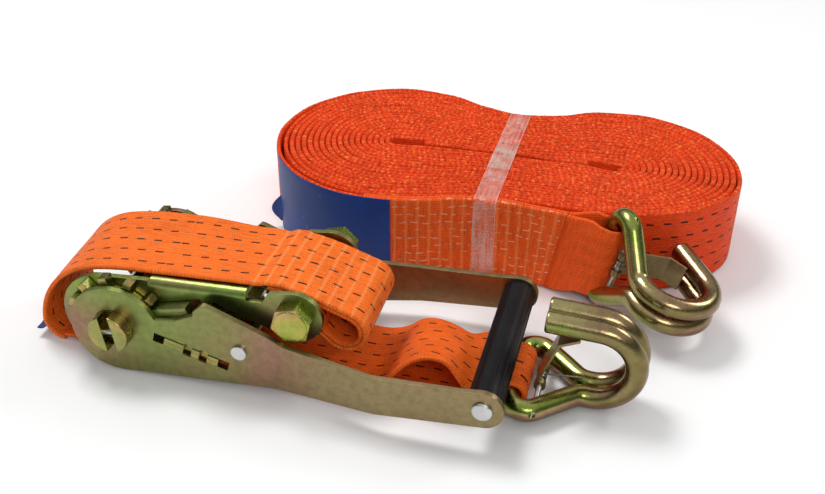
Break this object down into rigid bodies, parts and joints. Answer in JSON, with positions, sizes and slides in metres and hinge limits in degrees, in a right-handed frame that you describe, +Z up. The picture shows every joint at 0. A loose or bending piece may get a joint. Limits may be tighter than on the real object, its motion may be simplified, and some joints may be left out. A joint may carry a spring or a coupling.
{
  "type": "ratchet tie down",
  "caption": "Ratchet tie down strap: steel ratchet buckle with folding handle, short strap with double claw hook, and the long strap coiled up with its own hook.",
  "frame": {"origin": "centre of the footprint, on the surface that the set lies on", "axes": "+X along the ratchet from the winding shaft towards the handle's grip and the short strap's hook, +Y from the ratchet towards the coiled long strap, +Z up"},
  "size_m": [0.3538, 0.2748, 0.0625],
  "materials": {
    "webbing": "woven polyester, orange-red with rows of dark dashes",
    "passivated_steel": "yellow passivated zinc with green and pink play of colour",
    "bolt_steel": "passivated zinc, glossy",
    "rivet_steel": "bright zinc, upset head",
    "spring_steel": "drawn wire",
    "grip_plastic": "satin black with lengthwise ridges",
    "tape_film": "translucent packing tape",
    "label_film": "glossy navy film, unprinted",
    "tag_cloth": "navy woven tape, unprinted"
  },
  "bodies": {
    "frame": {"base_frame": "passivated_steel", "anchor_bolt": "bolt_steel", "anchor_nut": "bolt_steel", "anchor_sleeve": "bolt_steel", "lock_pawl_spring": "spring_steel", "short_strap_upper": "webbing", "long_strap_coil": "webbing", "long_strap_eye": "webbing", "coil_tape": "tape_film", "strap_label": "label_film", "label_flap": "label_film"},
    "mandrel": {"mandrel_half_front": "passivated_steel", "mandrel_half_rear": "passivated_steel", "mandrel_pins": "rivet_steel", "ratchet_wheel_near": "passivated_steel", "ratchet_wheel_far": "passivated_steel"},
    "handle": {"handle_plate_near": "passivated_steel", "handle_plate_far": "passivated_steel", "grip_sleeve": "grip_plastic", "grip_rivet": "rivet_steel", "stop_bar": "passivated_steel", "drive_pawl_springs": "spring_steel", "short_strap_bend": "webbing", "short_strap_lower": "webbing", "strap_tag": "tag_cloth"},
    "lock_pawl": {"lock_pawl": "passivated_steel"},
    "drive_pawl": {"drive_pawl": "passivated_steel"},
    "short_hook": {"short_hook": "passivated_steel", "short_hook_latch_pin": "rivet_steel", "short_hook_latch_spring": "spring_steel"},
    "short_hook_latch": {"short_hook_latch": "passivated_steel"},
    "long_hook": {"long_hook": "passivated_steel", "long_hook_latch_pin": "rivet_steel", "long_hook_latch_spring": "spring_steel"},
    "long_hook_latch": {"long_hook_latch": "passivated_steel"}
  },
  "joints": [
    {"name": "mandrel_turn", "type": "hinge", "parent": "frame", "child": "mandrel", "pos_m": [-0.12089, -0.08683, 0.027], "axis": [0, 1, 0], "continuous": true},
    {"name": "handle_turn", "type": "hinge", "parent": "frame", "child": "handle", "pos_m": [-0.12089, -0.08683, 0.027], "axis": [0, 1, 0], "range_deg": [0, 165], "deforming": ["short_strap_bend"]},
    {"name": "lock_pawl_slide", "type": "slide", "parent": "frame", "child": "lock_pawl", "axis": [0.9681, 0, 0.2504], "range_m": [0, 0.005], "stiffness_N_per_m": 600, "springref_m": -0.004, "deforming": ["lock_pawl_spring"]},
    {"name": "drive_pawl_slide", "type": "slide", "parent": "handle", "child": "drive_pawl", "axis": [0.9627, 0, -0.2706], "range_m": [0, 0.005], "stiffness_N_per_m": 600, "springref_m": -0.004, "deforming": ["drive_pawl_springs"]},
    {"name": "short_hook_swing", "type": "hinge", "parent": "handle", "child": "short_hook", "pos_m": [0.07561, -0.08683, 0.00805], "axis": [0, 1, 0], "range_deg": [-45, 75]},
    {"name": "short_hook_latch_turn", "type": "hinge", "parent": "short_hook", "child": "short_hook_latch", "pos_m": [0.08847, -0.08683, 0.00888], "axis": [0, 1, 0], "range_deg": [0, 45], "stiffness_Nm_per_rad": 0.03, "springref_deg": -20.05},
    {"name": "long_hook_swing", "type": "hinge", "parent": "frame", "child": "long_hook", "pos_m": [0.10811, -0.00034, 0.03371], "axis": [-0.2392, 0.0361, -0.9703], "range_deg": [0, 30]},
    {"name": "long_hook_latch_turn", "type": "hinge", "parent": "long_hook", "child": "long_hook_latch", "pos_m": [0.11658, -0.00974, 0.03127], "axis": [-0.2392, 0.0361, -0.9703], "range_deg": [0, 45], "stiffness_Nm_per_rad": 0.03, "springref_deg": -20.05}
  ]
}
